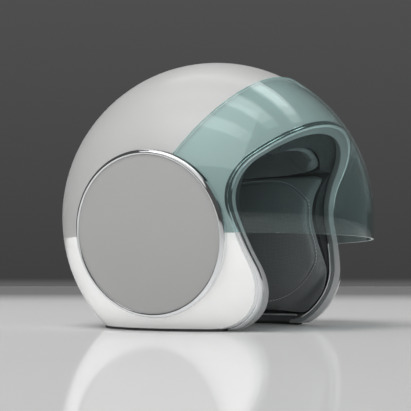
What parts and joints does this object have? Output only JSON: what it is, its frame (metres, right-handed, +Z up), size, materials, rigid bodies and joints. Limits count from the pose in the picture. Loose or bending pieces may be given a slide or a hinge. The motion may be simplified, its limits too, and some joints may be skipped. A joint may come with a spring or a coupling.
{
  "type": "open-face safety helmet",
  "caption": "Open-face safety helmet with a round shell, large round side covers, a tinted flip-up bubble visor, fabric lining and a chin strap with quick-release buckle.",
  "frame": {"origin": "middle of the helmet's outline on the surface that it stands on", "axes": "+Z up, -Y towards the face, +X towards the wearer's left"},
  "size_m": [0.2752, 0.2788, 0.236],
  "materials": {
    "shell_grey": "satin light grey lacquer",
    "band_white": "gloss white lacquer",
    "foot_rubber": "matt black rubber",
    "polished": "polished bright metal",
    "rim_grey": "satin mid grey",
    "piping": "thin bright piping",
    "roll_dark": "soft dark grey",
    "foam": "black expanded foam",
    "lining": "fine dark grey knitted fabric",
    "snap_plastic": "black plastic",
    "visor_tint": "clear teal tinted polycarbonate",
    "plate_plastic": "black moulded plastic",
    "steel": "plated steel",
    "brass": "plain",
    "bush_plastic": "natural acetal",
    "cover_grey": "satin grey lacquer",
    "webbing": "black woven webbing",
    "ladder_plastic": "black plastic",
    "buckle_dark": "black coated steel",
    "ribbon_red": "red ribbon"
  },
  "bodies": {
    "shell": {"outer_shell": "shell_grey", "lower_band": "band_white", "foot_strip": "foot_rubber", "edge_trim": "polished", "rim_band": "rim_grey", "inner_piping": "piping", "neck_roll": "roll_dark", "impact_liner": "foam", "crown_lining": "lining", "cheek_pad_left": "lining", "cheek_pad_right": "lining", "neck_pad": "lining", "pad_snaps": "snap_plastic", "base_plate_left": "plate_plastic", "base_plate_right": "plate_plastic", "plate_screws": "steel", "friction_washers": "brass", "pivot_bushes": "bush_plastic", "pivot_screws": "steel", "side_cover_left": "cover_grey", "side_cover_right": "cover_grey", "bezel_ring_left": "polished", "bezel_ring_right": "polished", "anchor_tabs": "steel", "strap_rivets": "steel", "chin_strap_left": "webbing", "chin_strap_right": "webbing", "ladder_strip": "ladder_plastic", "ladder_rivets": "steel", "buckle_frame": "buckle_dark", "lever_pin": "steel", "lever_spring": "steel"},
    "visor": {"visor": "visor_tint"},
    "buckle_lever": {"buckle_lever": "steel", "pull_ribbon": "ribbon_red"}
  },
  "joints": [
    {"name": "visor_hinge", "type": "hinge", "parent": "shell", "child": "visor", "pos_m": [0, 0.00145, 0.098], "axis": [-1, 0, 0], "range_deg": [0, 62]},
    {"name": "lever_hinge", "type": "hinge", "parent": "shell", "child": "buckle_lever", "pos_m": [-0.011, 0.01545, 0.0128], "axis": [0, 1, 0], "range_deg": [0, 25], "stiffness_Nm_per_rad": 0.1, "springref_deg": -20.05}
  ]
}
